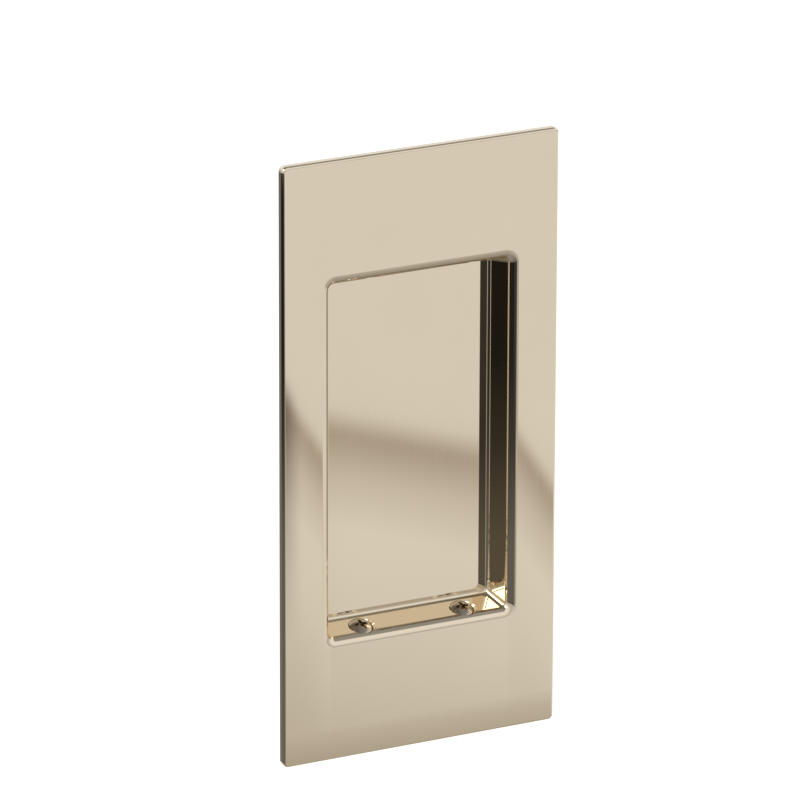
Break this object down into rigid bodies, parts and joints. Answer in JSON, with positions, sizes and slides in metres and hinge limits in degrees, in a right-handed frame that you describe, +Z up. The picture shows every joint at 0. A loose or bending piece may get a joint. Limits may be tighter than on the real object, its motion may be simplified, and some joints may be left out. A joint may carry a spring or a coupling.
{
  "type": "pocket door pull",
  "caption": "Flush rectangular pull for a sliding pocket door: a flat plate with a drafted finger recess, fixed by screws slanting through the recess's end walls.",
  "frame": {"origin": "middle of the plate's back face, on the plane that lies on the door", "axes": "+Z up the door, X across it, the plate faces -Y and the cup goes into the door along +Y"},
  "size_m": [0.06, 0.0102, 0.124],
  "materials": {
    "polished_nickel": "cast brass, polished and nickel plated, warm tone",
    "screw_nickel": "nickel-plated steel"
  },
  "bodies": {
    "root": {"pull_body": "polished_nickel", "mounting_screws": "screw_nickel"}
  },
  "joints": []
}
